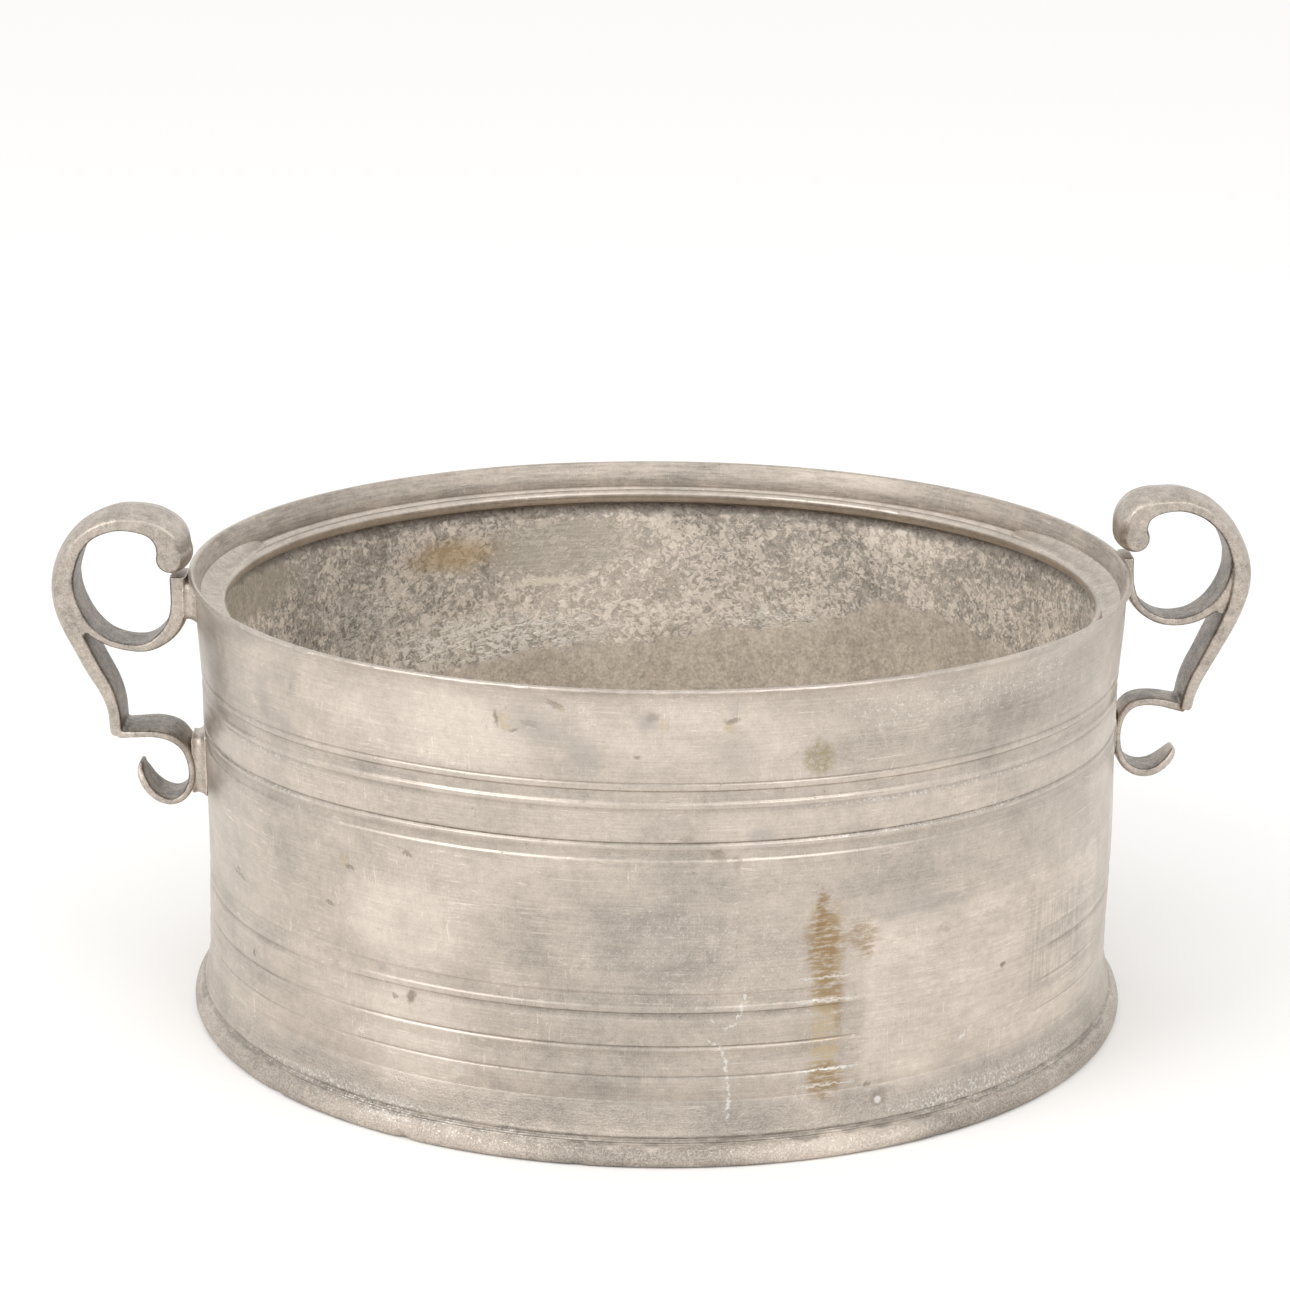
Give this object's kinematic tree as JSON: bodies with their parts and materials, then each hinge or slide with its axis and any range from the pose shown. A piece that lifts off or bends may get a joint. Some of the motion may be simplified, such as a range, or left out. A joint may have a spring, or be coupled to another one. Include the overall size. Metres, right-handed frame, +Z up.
{
  "type": "two-handled round vessel",
  "caption": "Round pewter serving vessel with a waisted wall, moulded foot, lid ledge inside the lip and scroll handles.",
  "frame": {"origin": "centre of the foot's resting plane", "axes": "+X towards the right handle, +Y away from the side shown to the viewer, +Z up"},
  "size_m": [0.3073, 0.2424, 0.1301],
  "materials": {
    "wall_pewter": "worn satin pewter, warm grey, with turning lines, stains and scratches",
    "ledge_pewter": "worn satin pewter",
    "floor_pewter": "dull oxidised pewter, mottled brown-grey",
    "foot_pewter": "worn satin pewter with pale corrosion crust in the hollows",
    "handle_pewter": "sand-cast pewter, fine grained, with rubbed bright edges",
    "solder": "smeared solder, satin"
  },
  "bodies": {
    "root": {"drum_wall": "wall_pewter", "lid_ledge": "ledge_pewter", "floor_disc": "floor_pewter", "foot_ring": "foot_pewter", "right_handle": "handle_pewter", "right_upper_lug": "solder", "right_lower_lug": "solder", "right_ledge_pad": "solder", "left_handle": "handle_pewter", "left_upper_lug": "solder", "left_lower_lug": "solder", "left_ledge_pad": "solder"}
  },
  "joints": []
}
